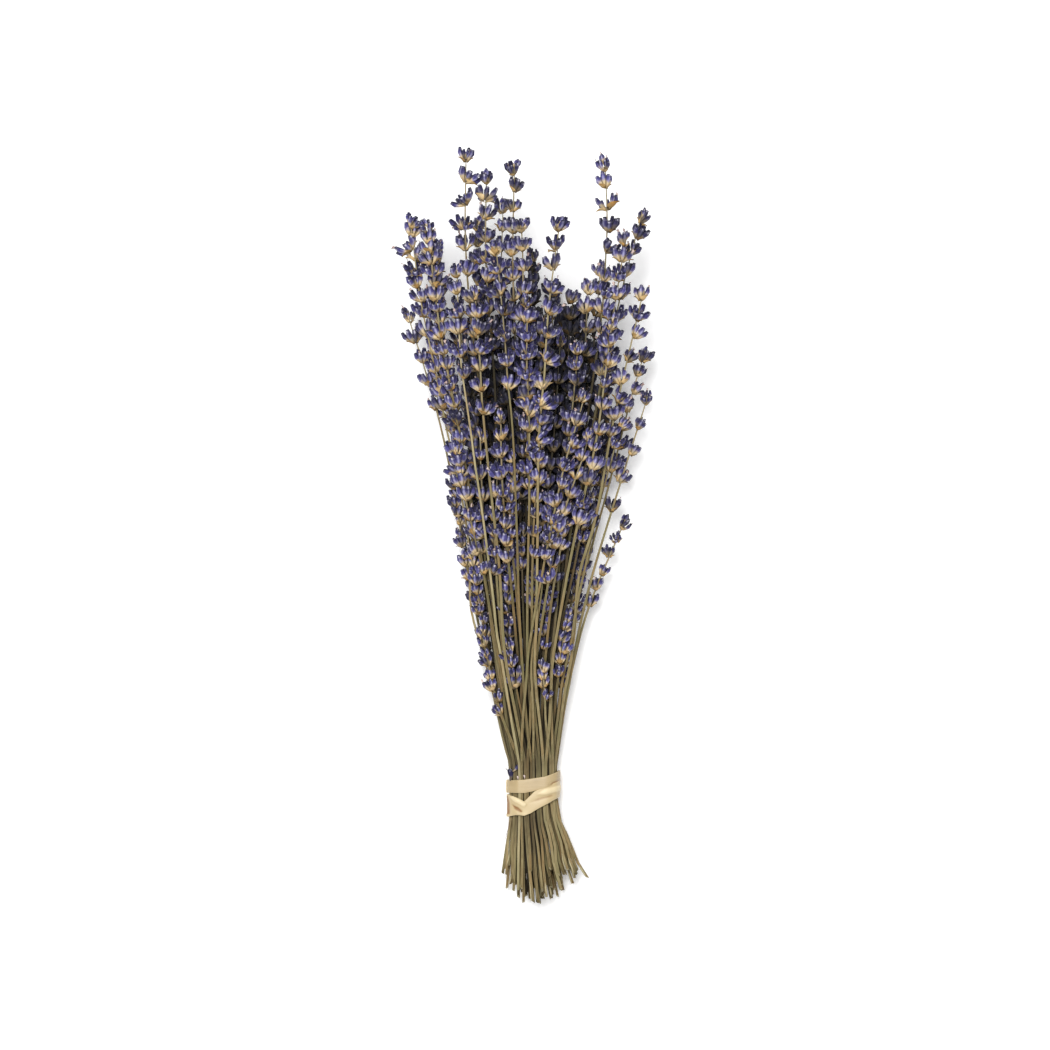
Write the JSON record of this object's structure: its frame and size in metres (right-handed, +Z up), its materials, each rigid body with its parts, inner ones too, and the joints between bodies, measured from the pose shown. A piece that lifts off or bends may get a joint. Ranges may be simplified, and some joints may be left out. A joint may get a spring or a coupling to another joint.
{
  "type": "dried lavender bunch",
  "caption": "Bunch of dried lavender stems with blue-purple flower spikes, held near the cut ends by a flat beige rubber band wound twice.",
  "frame": {"origin": "centre of the flat spot under the band, where the bunch rests on a surface", "axes": "+Y along the bunch, from the cut ends to the flower heads; +Z up, away from the surface; +X to the right when seen from above with the heads at the top"},
  "size_m": [0.129, 0.377, 0.0702],
  "materials": {
    "stems": "dry, matt",
    "band": "satin"
  },
  "bodies": {
    "root": {"stems_01": "stems", "stems_02": "stems", "stems_03": "stems", "stems_04": "stems", "stems_05": "stems", "stems_06": "stems", "stems_07": "stems", "stems_08": "stems", "stems_09": "stems", "stems_10": "stems", "stems_11": "stems", "stems_12": "stems", "stems_13": "stems", "stems_14": "stems", "stems_15": "stems", "stems_16": "stems", "stems_17": "stems", "stems_18": "stems", "stems_19": "stems", "stems_20": "stems", "stems_21": "stems", "stems_22": "stems", "stems_23": "stems", "stems_24": "stems", "stems_25": "stems", "stems_26": "stems", "stems_27": "stems", "stems_28": "stems", "stems_29": "stems", "stems_30": "stems", "stems_31": "stems", "stems_32": "stems", "stems_33": "stems", "stems_34": "stems", "stems_35": "stems", "stems_36": "stems", "stems_37": "stems", "stems_38": "stems", "stems_39": "stems", "stems_40": "stems", "stems_41": "stems", "stems_42": "stems", "stems_43": "stems", "stems_44": "stems", "stems_45": "stems", "stems_46": "stems", "stems_47": "stems", "stems_48": "stems", "tie_band": "band"}
  },
  "joints": []
}
